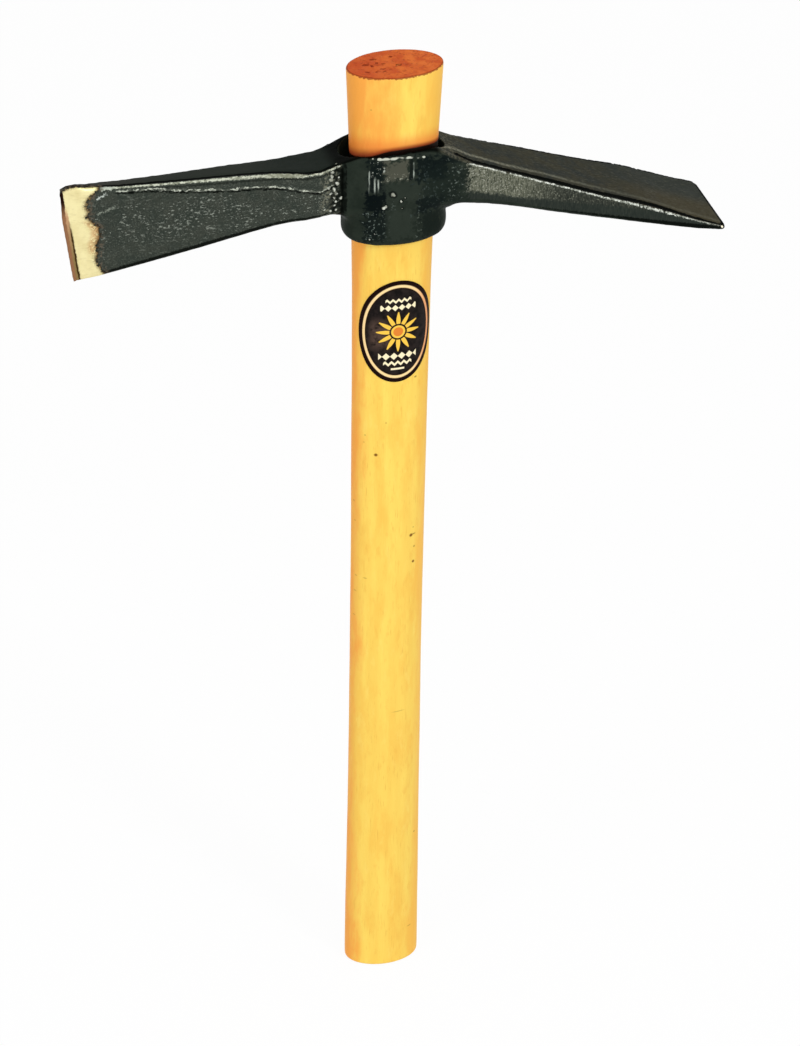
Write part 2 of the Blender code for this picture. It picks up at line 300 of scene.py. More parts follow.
lowerRidge = [                       # how far under the top the axe's second ridge runs
    (-0.1060, 0.0013), (-0.1030, 0.0014), (-0.0926, 0.0014), (-0.0835, 0.0026), (-0.0742, 0.0033),
    (-0.0630, 0.0040), (-0.0520, 0.0039), (-0.0450, 0.0044), (-0.0378, 0.0055), (-0.0340, 0.0062),
    (-0.0304, 0.0073), (-0.0285, 0.0068), (axeRoot, 0.0062),
]
grooveIn = [                         # the dark groove on the adze's top, inside its near edge
    (0.0150, 0.0035), (0.0225, 0.0050), (0.0255, 0.0036), (0.0280, 0.0027), (0.0370, 0.0029),
    (0.0580, 0.0027), (0.0980, 0.0027), (0.1120, 0.0023), (0.1250, 0.0016),
]
ledgeIn = [                          # where the painted highlight runs on the adze's top, beyond the groove
    (0.0155, 0.0052), (0.0180, 0.0075), (0.0205, 0.0090), (0.0225, 0.0092), (0.0260, 0.0080),
    (0.0280, 0.0074), (0.0410, 0.0067), (0.0550, 0.0076), (0.0760, 0.0073), (0.0950, 0.0062),
    (0.1150, 0.0052), (0.1250, 0.0040),
]
notches = [(0.0402, 0.0007), (0.0905, 0.0003), (0.1000, 0.0005)]      # gaps in the adze's bright burr
drips = [                            # (x, z, radius) of the blobs of paint on the collar
    (-0.0040, 0.3539, 0.0009), (-0.0034, 0.3533, 0.0006), (-0.0072, 0.3486, 0.0008),
    (-0.0064, 0.3490, 0.0006), (-0.0008, 0.3509, 0.0005), (0.0006, 0.3519, 0.0004),
    (-0.0003, 0.3479, 0.0004), (-0.0121, 0.3351, 0.0005), (-0.0104, 0.3374, 0.0004),
]
lumps = [                            # (x, z, radius) of the lumps where the axe leaves the collar
    (-0.0235, 0.3656, 0.0007), (-0.0257, 0.3635, 0.0009), (-0.0258, 0.3619, 0.0008),
    (-0.0264, 0.3606, 0.0008), (-0.0240, 0.3590, 0.0008), (-0.0235, 0.3614, 0.0005),
    (-0.0252, 0.3567, 0.0008), (-0.0250, 0.3558, 0.0006), (-0.0263, 0.3548, 0.0006),
    (-0.0242, 0.3547, 0.0007), (-0.0227, 0.3528, 0.0008), (-0.0249, 0.3530, 0.0005),
    (-0.0245, 0.3516, 0.0006), (-0.0249, 0.3500, 0.0006), (-0.0243, 0.3482, 0.0006),
    (-0.0264, 0.3478, 0.0005), (-0.0271, 0.3573, 0.0006), (-0.0288, 0.3487, 0.0005),
]


def drop(place):
    return between(topLine, place.x) - place.z


def inside(place):
    return between(sideLine, place.x) - abs(place.y)


def keepDistances(head):             # how far each point lies from the lines, in millimetres
    lines = {
        "down": drop,
        "inwards": inside,
        "fromRidge": lambda place: drop(place) - between(lowerRidge, place.x),
        "fromCrest": lambda place: inside(place) - between(crestIn, place.x),
        "fromGroove": lambda place: inside(place) - between(grooveIn, place.x),
        "fromLedge": lambda place: inside(place) - between(ledgeIn, place.x),
        "aboveFoot": lambda place: place.z + between(footLine, place.x),
    }
    for name, distance in lines.items():
        paintWeights(head, name, lambda place, normal: 1000 * distance(place))


def farSide(place, normal):          # the other half's top, where no bright edge shows
    return place.y > 0 and normal.y < 0.3


def broken(place, size, share):      # breaks a line into pieces
    return ramp(lumpy(place, size), share - 0.25, share + 0.25)


def dots(place, blobs, reach=1.0):
    x = place.x + 0.0005 * lumpy(place, 0.0011)
    z = place.z + 0.0005 * lumpy(place.zxy, 0.0011)
    return max(peak(math.hypot(x - atX, z - atZ) / radius / reach, 0.0, 1.0) for atX, atZ, radius in blobs)


def adzeBelly(place, normal):        # the adze is a little fuller below than the plain solid
    zone = ramp(place.x, 0.030, 0.060) * ramp(place.x, 0.1235, 0.112)
    return zone * ramp(-normal.z, 0.2, 0.6)


def axeBelly(place, normal):
    return peak(place.x, -0.078, 0.034) * ramp(-normal.z, 0.2, 0.6) * (place.x < -0.03)


def axeCrown(place, normal):
    return peak(place.x, -0.058, 0.018) * ramp(normal.z, 0.3, 0.7)


toeLift = [                          # how much taller the axe's end is, with its corner worn round
    (-0.1256, 0.0001), (-0.1250, 0.0008), (-0.1242, 0.0013), (-0.1228, 0.0016), (-0.1195, 0.0016),
    (-0.1160, 0.0007), (-0.1040, 0.0),
]


def toeRaise(place, normal):
    return between(toeLift, place.x) / headShape["toeRise"] * ramp(drop(place), 0.0120, 0.0010)


def toePush(place, normal):          # and how far it stands out
    return ramp(place.x, -0.1120, -0.1150) * ramp(-normal.x, 0.2, 0.6) * ramp(drop(place), 0.004, 0.014)


def skirtSwell(place, normal):
    if place.z > 0.345 or math.hypot(place.x, place.y) < 0.0105:
        return 0.0
    return ramp(place.x, 0.009, 0.016) * peak(place.z, 0.3365, 0.0045) * ramp(normal.x, 0.0, 0.3)


def upperBurr(place, normal):        # the bead along the axe's upper edge
    if place.x > axeRoot or farSide(place, normal):
        return 0.0
    half = between(beadWide, place.x)
    away = math.hypot(inside(place) - 0.0007, drop(place) - 0.0003) / half
    rough = 0.75 + 0.25 * broken(place, 0.0020, 0.0)
    return peak(away, 0.0, 1.0) * ramp(place.x, -0.1120, -0.1100) * rough


def ridgeGroove(place, normal):      # the dark line beside that bead
    if place.x > axeRoot - 0.0005 or place.y > 0.0020 or normal.z < 0.3:
        return 0.0
    line = peak(inside(place), between(crestIn, place.x), 0.0009)
    toe = ramp(place.y, -0.0010, -0.0002) * ramp(place.x, -0.1060, -0.1110)
    return max(line * (place.y < 0.0003), toe)


def lowerBurr(place, normal):
    if place.x > axeRoot - 0.003 or abs(normal.y) < 0.25:
        return 0.0
    wander = 0.0003 * lumpy(place, 0.0030) + 0.0003 * lumpy(place, 0.0011)
    line = peak(drop(place) + wander, between(lowerRidge, place.x), 0.00045)
    return line * ramp(place.x, -0.1070, -0.1045) * (0.35 + 0.65 * broken(place, 0.0016, 0.0))


def ridgeGaps(place, normal):        # dark lines under the bead and under the second ridge
    if place.x > axeRoot - 0.001 or normal.z > 0.7 or farSide(place, normal):
        return 0.0
    upper = peak(drop(place), 0.0009 + between(beadWide, place.x), 0.00045) * ramp(place.x, -0.104, -0.095)
    lower = peak(drop(place), between(lowerRidge, place.x) + 0.0010, 0.00045)
    lower *= ramp(place.x, -0.118, -0.112) * (0.4 + 0.6 * broken(place, 0.0050, 0.0))
    return max(upper * 0.7, lower)


def adzeBurr(place, normal):
    if place.x < adzeRoot or place.x > 0.1235 or farSide(place, normal):
        return 0.0
    corner = between([(0.026, 0.00074), (0.055, 0.00043)], place.x)
    away = math.hypot(inside(place) - corner, drop(place) - corner)
    whole = all(abs(place.x - notch) > half for notch, half in notches)
    rough = (0.60 + 0.40 * broken(place, 0.0014, -0.1)) * between([(0.105, 1.0), (0.115, 0.75)], place.x)
    return peak(away, 0.0, 0.00062) * rough * whole * ramp(place.x, adzeRoot + 0.001, adzeRoot + 0.003)


def adzeGroove(place, normal):
    if place.x < 0.0150 or normal.z < 0.3 or place.x > 0.1245 or place.y > 0:
        return 0.0
    wander = 0.0002 * lumpy(place, 0.004)
    return peak(inside(place) + wander, between(grooveIn, place.x), 0.0013) * ramp(place.x, 0.0150, 0.0240)


def rootLumps(place, normal):        # rough lumps where the axe leaves the collar
    if abs(normal.y) < 0.25 or place.x > axeRoot + 0.0008 or place.x < -0.0310:
        return 0.0
    return dots(place, lumps) * (place.y < 0 or place.z < 0.3625)


def rootShade(place, normal):        # the dark round those lumps
    if abs(normal.y) < 0.2 or place.x > axeRoot + 0.0020 or place.x < -0.0300:
        return 0.0
    zone = ramp(place.x, -0.0290, -0.0245) * ramp(drop(place), -0.0005, 0.0010)
    return zone * (0.45 + 0.55 * ramp(lumpy(place, 0.0012), -0.2, 0.2))


def rootCrease(place, normal):
    if abs(normal.y) < 0.25:
        return 0.0
    zone = ramp(drop(place), 0.0002, 0.0020) * ramp(drop(place), 0.0240, 0.0200)
    return peak(place.x, axeRoot + 0.0004, 0.0006) * zone


rimLine = [(-0.0110, 0.3679), (-0.0070, 0.3682), (0.0, 0.3683), (0.0040, 0.3679), (0.0100, 0.3668)]


def rimBurr(place, normal):
    if abs(place.x) > 0.013 or abs(normal.y) < 0.3 or abs(place.y) < 0.0105:
        return 0.0
    line = peak(place.z, between(rimLine, place.x), 0.00045)
    line *= ramp(place.x, -0.0118, -0.0108) * ramp(place.x, 0.0092, 0.0078)
    return line * (0.3 + 0.7 * broken(place, 0.0017, -0.1))


def paintDrips(place, normal):
    return dots(place, drips) if place.y < 0 else 0.0


def dripShade(place, normal):
    return ramp(dots(place, drips, 1.7), 0.25, 0.6) if place.y < 0 else 0.0


bareEdge = [                         # (drop, x) along the ragged end of the paint
    (0.0040, -0.1112), (0.0058, -0.1124), (0.0068, -0.1143), (0.0093, -0.1160), (0.0118, -0.1164),
    (0.0139, -0.1153), (0.0159, -0.1164), (0.0182, -0.1139), (0.0205, -0.1118), (0.0235, -0.1114),
    (0.0275, -0.1126), (0.0301, -0.1123), (0.0337, -0.1131), (0.0364, -0.1120), (0.0400, -0.1098),
]


def barePart(place, normal):         # how far inside the bare band, in millimetres
    edge = between(bareEdge, collarTop - place.z)
    down = drop(place) + between(toeLift, place.x)
    under = down - 0.0009
    if place.y < 0.0012:             # ground slantwise over the near corner
        under = down + 0.65 * (between(sideLine, place.x) - place.y) - 0.0027
    elif normal.z > 0.62:
        under = -0.0030
    return min(edge - place.x, 1.5 * under) * 1000


def body(place):                     # all but the cutting edges
    return ramp(abs(place.x), *headShape["bodyEnd"])


def hammered(place):
    return ramp(abs(place.x), *headShape["hammerEnd"])


def fillets(place):
    near = ramp(abs(place.x), *headShape["filletFrom"]) * ramp(abs(place.x), *headShape["filletTo"])
    return near * ramp(drop(place), *headShape["filletDrop"])


def toe(place):
    return ramp((place - toeCorner).length, *headShape["toeReach"])


def makeHead():
    head = copyOfNode("head", "forged_head")
    fine = head.modifiers.new("fine", "REMESH")
    fine.mode = "VOXEL"
    fine.voxel_size = headShape["voxel"]
    applyModifiers(head)

    for zone in (body, hammered, fillets, toe):
        gather(head, zone.__name__, [zone(vertex.co) for vertex in head.data.vertices])
    for name, rounds in headShape["rounds"].items():
        even = head.modifiers.new(name, "SMOOTH")
        even.vertex_group = name
        even.iterations = rounds
        even.factor = 0.5
    for name in ("waves", "dimples"):
        ripple(head, name, *headShape[name]).vertex_group = "hammered"
    applyModifiers(head)
    head.vertex_groups.clear()

    keepDistances(head)
    for depth, weightOf in (
        (-0.00035, ridgeGroove), (-0.00018, ridgeGaps), (0.00034, upperBurr), (0.00036, lowerBurr),
        (-0.00060, adzeGroove), (0.00034, adzeBurr), (-0.00050, rootCrease), (0.00060, rootLumps),
        (0.00024, rimBurr), (0.00045, paintDrips), (0.00060, adzeBelly), (0.00055, axeBelly),
        (0.00050, axeCrown), (0.00070, skirtSwell), (0.00070, toePush),
    ):
        sculpt(head, depth, weightOf)
    sculpt(head, headShape["toeRise"], toeRaise, "Z")

    thin = head.modifiers.new("thin", "DECIMATE")
    thin.ratio = headShape["triangles"] / (2 * len(head.data.polygons))
    applyModifiers(head)
    for name, weightOf in (("bare", barePart), ("rootShade", rootShade), ("dripShade", dripShade)):
        paintWeights(head, name, weightOf)
    return smoothed(head)


headPaint = {
    "patches": [                     # x, z, half width, half height, share, colour of painted highlights and shade on the collar
        (-0.0098, 0.3605, 0.0030, 0.0070, 0.80, (10, 18, 19)),
        (-0.0027, 0.3636, 0.0040, 0.0040, 0.85, (78, 79, 68)),
        (0.0016, 0.3545, 0.0100, 0.0045, 0.55, (46, 53, 46)),
        (0.0027, 0.3630, 0.0006, 0.0040, 0.70, (12, 18, 16)),
        (0.0110, 0.3622, 0.0062, 0.0048, 0.85, (8, 16, 18)),
        (0.0190, 0.3645, 0.0050, 0.0014, 0.80, (10, 17, 18)),
        (-0.0103, 0.3500, 0.0034, 0.0042, 0.90, (6, 13, 15)),
        (0.0108, 0.3474, 0.0052, 0.0030, 0.80, (8, 15, 18)),
        (-0.0098, 0.3400, 0.0040, 0.0058, 0.75, (12, 20, 20)),
        (-0.0008, 0.3400, 0.0050, 0.0055, 0.70, (45, 52, 45)),
        (0.0118, 0.3385, 0.0045, 0.0060, 0.75, (20, 27, 24)),
        (0.0150, 0.3550, 0.0080, 0.0090, 0.60, (22, 30, 27)),
    ],
    "streaks": [                     # x, half width, from z to z of painted upright highlights on the collar
        (-0.0124, 0.00022, 0.3545, 0.3640), (-0.0105, 0.00026, 0.3545, 0.3615),
        (-0.0093, 0.00026, 0.3550, 0.3605), (0.0038, 0.00022, 0.3595, 0.3665),
    ],
    "edge": {"reach": 0.1257, "lean": 0.143, "toeDrop": 0.0049},       # the axe's cutting edge
    "stripSlope": 0.211,             # how steeply the dark strip runs down the adze's side
    "tip": (0.1230, -0.0181, 0.3252),                     # a bright nick in the adze's near corner
    "strokes": [                     # x, z of both ends, half width, colour
        (-0.1124, 0.3609, -0.1085, 0.3629, 0.00045, (188, 196, 188)),
        (-0.1122, 0.3547, -0.1054, 0.3572, 0.00045, (128, 134, 122)),
    ],
    "speckles": [                    # x, z, half width, half height, colour of painted highlight speckles on the collar
        (-0.0092, 0.3640, 0.0024, 0.0028, (152, 158, 148)),
        (-0.0027, 0.3606, 0.0040, 0.0014, (134, 136, 122)),
        (-0.0098, 0.3405, 0.0036, 0.0056, (92, 102, 96)),
        (0.0064, 0.3400, 0.0012, 0.0060, (74, 82, 74)),
        (0.0090, 0.3600, 0.0050, 0.0040, (46, 56, 54)),
        (0.0215, 0.3570, 0.0040, 0.0080, (92, 101, 94)),
        (0.0100, 0.3500, 0.0055, 0.0050, (58, 68, 64)),
        (-0.0060, 0.3490, 0.0030, 0.0020, (66, 74, 68)),
    ],
}


def makePaint():
    material, tree, place, normal = startMaterial("black_paint_and_steel")
    x, y, z = parts(place)
    right, back, up = parts(normal)
    sideways = abs(back)
    side = rise(sideways, 0.50, 0.80)
    top = rise(up, 0.55, 0.85)
    below = rise(up, -0.05, -0.45)
    onAxe = rise(x, axeRoot + 0.001, axeRoot - 0.001)
    onAdze = rise(x, 0.0120, 0.0190)
    under = collarTop - z

    patches = grain(place, 0.006, detail=5.0, rough=0.6)
    patchy = rise(patches, 0.35, 0.65)
    mottle = grain(place, 0.0016, detail=3.0, rough=0.6)
    fineSpots = grain(place, 0.0006, detail=2.0)
    pepper = grain(place, 0.00055, detail=3.0, rough=0.6)
    paint = shades(patchy, (31, 38, 32), (40, 47, 40))

    def zoneOf(centreX, centreZ, halfX, halfZ):           # a ragged box on the collar's front
        square = most(abs((x - centreX) / halfX), abs((z - centreZ) / halfZ))
        return rise(square + rise(mottle, 0.25, 0.75, 0.50, -0.50), 1.25, 0.75) * side

    # the collar: painted highlights and shade in patches, and painted upright highlight streaks and
    # speckles
    coarse = grain(place, 0.0011, detail=4.0, rough=0.65)
    for centreX, centreZ, halfX, halfZ, share, tone in headPaint["patches"]:
        paint = over(paint, zoneOf(centreX, centreZ, halfX, halfZ) * share, *tone)
    for centreX, centreZ, halfX, halfZ, tone in headPaint["speckles"]:
        paint = over(paint, zoneOf(centreX, centreZ, halfX, halfZ) * rise(coarse, 0.57, 0.64), *tone)
    streaks = grain(place, 0.0006, (1.0, 1.0, 5.0), detail=2.0)
    for centreX, halfX, lowZ, highZ in headPaint["streaks"]:
        zone = rise(abs(x - centreX), 1.6 * halfX, 0.4 * halfX) * side
        zone = zone * rise(z, lowZ - 0.001, lowZ + 0.002) * rise(z, highZ, highZ - 0.001)
        paint = over(paint, zone * rise(streaks, 0.38, 0.56, 0.2, 1.0), 158, 166, 156)
    # painted highlight on the skirt's faces that turn to the left
    leftEndHighlight = rise(right, -0.75, -0.95) * rise(z, 0.347, 0.343) * side
    paint = over(paint, leftEndHighlight * 0.6, 72, 68, 60)

    # the axe's cheeks: greyer, with short pale flecks
    cheek = shades(patchy, (50, 56, 50), (59, 63, 56))
    cheek = over(cheek, rise(pepper, 0.48, 0.34, 0.0, 0.6), 36, 41, 36)
    cheek = over(cheek, rise(fineSpots, 0.5, 0.7) * 0.6, 84, 89, 81)
    flecks = grain(place, 0.00075, (2.0, 1.0, 0.9), detail=4.0, rough=0.7)
    crowded = grain(place, 0.008, (1.8, 1.0, 0.6), detail=2.0)
    fleck = rise(flecks - rise(crowded, 0.35, 0.65, 0.62, 0.548), 0.0, 0.05) * onAxe * side
    fleck = fleck * rise(under, 0.032, 0.022, 0.25, 1.0) * rise(under, 0.0105, 0.0140, 0.25, 1.0)
    cheek = over(cheek, fleck * 0.8, 146, 152, 141)
    worn = rise(x, -0.0315, -0.0280) * side * rise(coarse, 0.50, 0.60)
    cheek = over(cheek, worn * 0.8, 118, 118, 102)
    for startX, startZ, endX, endZ, half, tone in headPaint["strokes"]:
        run = Vector((endX - startX, 0.0, endZ - startZ))
        along = ((x - startX) * run.x + (z - startZ) * run.z) / run.length_squared
        aside = ((x - startX) * -run.z + (z - startZ) * run.x) / (run.length * half)
        aside = abs(aside) + rise(pepper, 0.38, 0.62, 1.3, -0.4)
        cheek = over(cheek, rise(aside, 1.7, 0.5, 0.0, 0.9) * rise(abs(along - 0.5), 0.56, 0.44), *tone)
    paint = blend(onAxe * side, paint, cheek)
    axeTop = shades(rise(x, -0.062, -0.038), (42, 46, 41), (30, 36, 32))
    axeTop = over(axeTop, rise(x, -0.085, -0.108), 56, 57, 53)
    paint = blend(onAxe * top, paint, axeTop)

    # the adze's top: olive, scratched along its length, palest along its near edge
    scratches = grain(place, 0.0006, (9.0, 1.0, 1.0), detail=3.0)
    adzeTop = shades(patchy, (41, 45, 41), (56, 55, 44))
    nearer = rise(y, 0.006, -0.005)
    tipTone = shades(nearer, (48, 52, 47), (64, 60, 45))
    adzeTop = blend(rise(x, 0.070, 0.112), adzeTop, tipTone)
    adzeTop = over(adzeTop, rise(scratches, 0.54, 0.68) * 0.5, 80, 80, 68)
    adzeTop = over(adzeTop, rise(scratches, 0.46, 0.36) * 0.4, 38, 38, 32)
    worn = rise(x, 0.034, 0.014) * rise(coarse, 0.46, 0.60)
    adzeTop = over(adzeTop, worn * 0.7, 104, 102, 86)
    paint = blend(onAdze * top, paint, adzeTop)

    # the adze's sides: ground grey near the root with upright marks, a dark strip below
    marks = grain(place, 0.00040, (1.0, 1.0, 6.0), detail=3.0, rough=0.6)
    ground = shades(rise(marks, 0.35, 0.65), (60, 64, 53), (110, 112, 97))
    ground = over(ground, rise(coarse, 0.50, 0.64, 0.0, 0.5), 138, 140, 124)
    ground = over(ground, rise(pepper, 0.58, 0.66, 0.0, 0.8), 168, 170, 156)
    plain = shades(rise(marks, 0.35, 0.70), (38, 42, 37), (62, 65, 58))
    plain = over(plain, rise(pepper, 0.56, 0.68, 0.0, 0.8), 120, 123, 108)
    dark = shades(rise(marks, 0.35, 0.70), (38, 44, 40), (50, 55, 49))
    middle = under - (x - 0.0297) * headPaint["stripSlope"] + rise(mottle, 0.3, 0.7, -0.0006, 0.0006)
    above = rise(x, 0.0225, 0.0265) * rise(middle, 0.0212, 0.0194)
    adzeSide = blend(above, dark, blend(rise(x, 0.042, 0.064), ground, plain))
    begins = rise(x + rise(coarse, 0.3, 0.7, -0.0022, 0.0022), 0.0245, 0.0262)
    paint = blend(begins * side * rise(below, 1.0, 0.0), paint, adzeSide)

    # ridges, lumps and drips with painted highlights, and painted shade in the dark lines beside them,
    # round the lumps and drips, and in the creases and grooves
    near = rise(y, 0.0004, -0.0004)
    cheeks = rise(sideways, 0.25, 0.45)
    shown = most(near, rise(sideways, 0.80, 0.92))
    uneven = rise(grain(place, 0.0009, (1.8, 1.0, 1.0)), 0.40, 0.58)
    sway = rise(mottle, 0.2, 0.8, -0.45, 0.45)
    fray = rise(pepper, 0.3, 0.7, -0.22, 0.22)

    def lineOf(name, half, wander, shift=0.0):            # a line along a kept distance
        return rise(abs((painted(tree, name) - shift + wander) / half), 1.25, 0.75)

    def edgeOf(inwards, down, half):                      # a bead round an upper corner
        across = painted(tree, "inwards") - inwards
        beneath = painted(tree, "down") - down
        away = maths("SQRT", across * across + beneath * beneath)
        return rise(away + fray - half, 0.12, -0.12)

    fromLedge = painted(tree, "fromLedge")
    # painted highlight along the adze's top, beyond the groove near its edge
    ledgeHighlight = rise(fromLedge, 1.9, 0.2) * rise(fromLedge, -1.5, -0.3)
    ledgeHighlight = ledgeHighlight * rise(coarse, 0.38, 0.60, 0.3, 1.0) * rise(x, 0.024, 0.095, 1.0, 0.25)
    paint = over(paint, ledgeHighlight * near * top * onAdze * 0.9, 126, 126, 110)
    paint = over(paint, rise(painted(tree, "rootShade"), 0.1, 0.9, 0.0, 0.9), 8, 12, 9)
    paint = over(paint, painted(tree, "dripShade") * 0.85, 6, 11, 10)
    eyeTop = rise(x, -0.0275, -0.0220) * rise(x, 0.0160, 0.0130) * top
    crest = lineOf("fromCrest", 0.75, sway * 0.3) * near * onAxe * top
    toeTop = rise(x, -0.1100, -0.1160) * top
    deep = rise(x, 0.030, 0.070, 1.15, 1.75) * rise(x, 0.098, 0.122, 1.0, 0.5)
    groove = lineOf("fromGroove", deep, sway * 0.6) * near * rise(x, 0.0190, 0.0235) * top
    groove = rise(groove, 0.15, 0.60)
    farGroove = lineOf("inwards", 1.0, 0.0, 0.7) * (1.0 - near) * rise(x, 0.030, 0.050) * top
    tipLine = rise(x, 0.1232, 0.1239) * top
    ridgePlace = onAxe * cheeks * rise(x, -0.1060, -0.1040)
    lowerGap = lineOf("fromRidge", 0.40, sway, 0.95) * ridgePlace * rise(coarse, 0.40, 0.54, 0.35, 0.95)
    upperGap = lineOf("down", 0.32, fray, 1.45) * ridgePlace * rise(x, -0.104, -0.090) * 0.55
    foot = rise(painted(tree, "aboveFoot") + fray, 1.9, 1.3) * cheeks * rise(below, 0.8, 0.2) * 0.9
    # painted shade: black lines in the axe's root crease, on the top round the eye, beside the axe's bead,
    # in the adze's grooves, along the adze's tip, under both ridges and along the feet; the toe's top is
    # black paint
    shadeAndToePaint = most(painted(tree, "rootCrease"), eyeTop, crest, toeTop, groove, farGroove, tipLine,
                lowerGap, upperGap, foot)
    paint = over(paint, shadeAndToePaint, 4, 6, 4)

    # painted highlight along the axe's upper bead
    wide = rise(x, -0.0560, -0.0430) * rise(x, -0.0345, -0.0385) * rise(mottle, 0.30, 0.60, 0.45, 1.0)
    blot = rise(x, -0.1040, -0.1075) * rise(mottle, 0.30, 0.60, 0.55, 1.0)
    bead = edgeOf(0.75, rise(blot, 0.0, 1.0, 0.30, 0.80),
                  most(rise(wide, 0.0, 1.0, 0.34, 0.78), blot * 0.85))
    bead = bead * onAxe * shown * rise(x, -0.1112, -0.1098)
    beadHighlight = shades(uneven, (138, 142, 124), (204, 209, 190))
    beadHighlight = over(beadHighlight, wide * 0.8, 118, 121, 102)
    beadHighlight = over(beadHighlight, blot * 0.6, 164, 174, 166)
    paint = blend(bead, paint, beadHighlight)
    flaws = grain(place, 0.0010, (2.0, 1.0, 1.0), detail=4.0)
    # painted highlight along the axe's second ridge
    ridge = lineOf("fromRidge", 0.33, sway) * ridgePlace * rise(x, -0.0245, -0.0260)
    ridge = ridge * rise(flaws, 0.42, 0.57, 0.10, 1.0)
    ridgeHighlight = shades(rise(pepper, 0.35, 0.60), (104, 109, 96), (200, 205, 190))
    paint = blend(ridge, paint, ridgeHighlight)
    # painted highlight along the collar's rim
    paint = over(paint, rise(painted(tree, "rimBurr"), 0.28, 0.62), 190, 194, 180)

    # painted highlight along the adze's burr
    cornerAt = rise(x, 0.026, 0.055, 0.74, 0.43)
    burr = edgeOf(cornerAt, cornerAt, rise(mottle, 0.3, 0.7, 0.10, 0.33))
    burr = burr * rise(x, 0.0250, 0.0262) * rise(x, 0.1236, 0.1226) * shown
    for notch, half in notches:
        burr = burr * rise(abs(x - notch), 0.7 * half, 1.2 * half)
    burrHighlight = shades(uneven, (150, 154, 143), (222, 226, 216))
    burrHighlight = over(burrHighlight, rise(x, 0.104, 0.118, 0.0, 0.6), 110, 112, 100)
    paint = blend(burr, paint, burrHighlight)
    # painted highlights on the lumps and drips
    blobs = most(painted(tree, "rootLumps"), painted(tree, "paintDrips"))
    blobHighlight = shades(rise(mottle, 0.40, 0.62), (150, 152, 138), (210, 214, 202))
    paint = blend(rise(blobs, 0.35, 0.75, 0.0, 0.95), paint, blobHighlight)
    tip = rise(vector("DISTANCE", place, headPaint["tip"]), 0.0007, 0.0004)
    paint = over(paint, tip, 255, 250, 222)

    # the bare ground band along the axe's edge, with a ragged end to the paint
    ragged = grain(place, 0.0011, detail=7.0, rough=0.75)
    inBare = painted(tree, "bare") + rise(ragged, 0.2, 0.8, -1.5, 1.5)
    bare = rise(inBare, -0.12, 0.12)
    grime = rise(inBare, -2.8, -0.6) * onAxe * rise(coarse, 0.42, 0.58, 0.0, 0.7)
    paint = over(paint, grime, 106, 94, 80)
    char = rise(inBare, -1.0, -0.2) * onAxe * rise(pepper, 0.36, 0.54, 0.25, 0.95)
    paint = over(paint, char, 30, 21, 9)
    steel = shades(patchy, (242, 231, 176), (230, 217, 161))
    steel = over(steel, rise(scratches, 0.55, 0.70) * 0.25, 196, 180, 126)
    # painted highlight along the bare band's upper corner, where it faces up
    steel = over(steel, rise(up, 0.25, 0.55), 255, 251, 188)
    worn = rise(under, 0.0165, 0.0190) * rise(under, 0.0330, 0.0290)
    stain = rise(inBare, 4.2, 2.2) * rise(ragged, 0.40, 0.52) * worn
    steel = over(steel, stain * 0.8, 206, 162, 110)
    rust = rise(inBare, 2.0, 0.2) * rise(ragged, 0.42, 0.54)
    rust = most(rust, stain * rise(pepper, 0.56, 0.64))
    steel = over(steel, rust * 0.85, 100, 68, 32)
    edge = headPaint["edge"]
    fromEdge = x + edge["reach"] + (z - (collarTop - edge["toeDrop"])) * edge["lean"]
    fromEdge = fromEdge + rise(mottle, 0.2, 0.8, -0.0002, 0.0002)
    strip = rise(fromEdge, 0.0020, 0.0015) * rise(under, 0.010, 0.016)
    stripTone = shades(rise(under, 0.010, 0.036), (204, 160, 120), (140, 118, 74))
    steel = blend(strip, steel, stripTone)
    darkLine = rise(fromEdge, 0.0012, 0.0015) * rise(fromEdge, 0.0023, 0.0018)
    darkLine = darkLine * rise(under, 0.016, 0.024)
    steel = over(steel, darkLine, 60, 44, 18)
    outerTone = shades(rise(under, 0.0090, 0.0170), (30, 12, 7), (150, 108, 76))
    outerReach = fromEdge - rise(under, 0.0090, 0.0190, 0.0007, 0.0)
    steel = blend(rise(outerReach, 0.0008, 0.0004), steel, outerTone)

    roughness = rise(patches, 0.3, 0.7, 0.32, 0.44) + bare * 0.12 + onAdze * top * 0.12
    relief = patches * 0.3 + fineSpots * 0.14 + fleck * 0.4 + above * onAdze * marks * 0.3
    relief = (relief + most(bead, ridge) * 0.5) * rise(bare, 0.0, 1.0, 1.0, 0.25) - bare * 0.6
    finishShader(tree, relief, 0.0003, {
        "Base Color": blend(bare, paint, steel),
        "Metallic": bare * 0.35,
        "Roughness": roughness,
        "IOR": 1.06,
    })
    return material


head = makeHead()
head.data.materials.append(makePaint())
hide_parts("head")
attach(head, "root")


# The handle: a fine copy of the oval stick, with its end grain

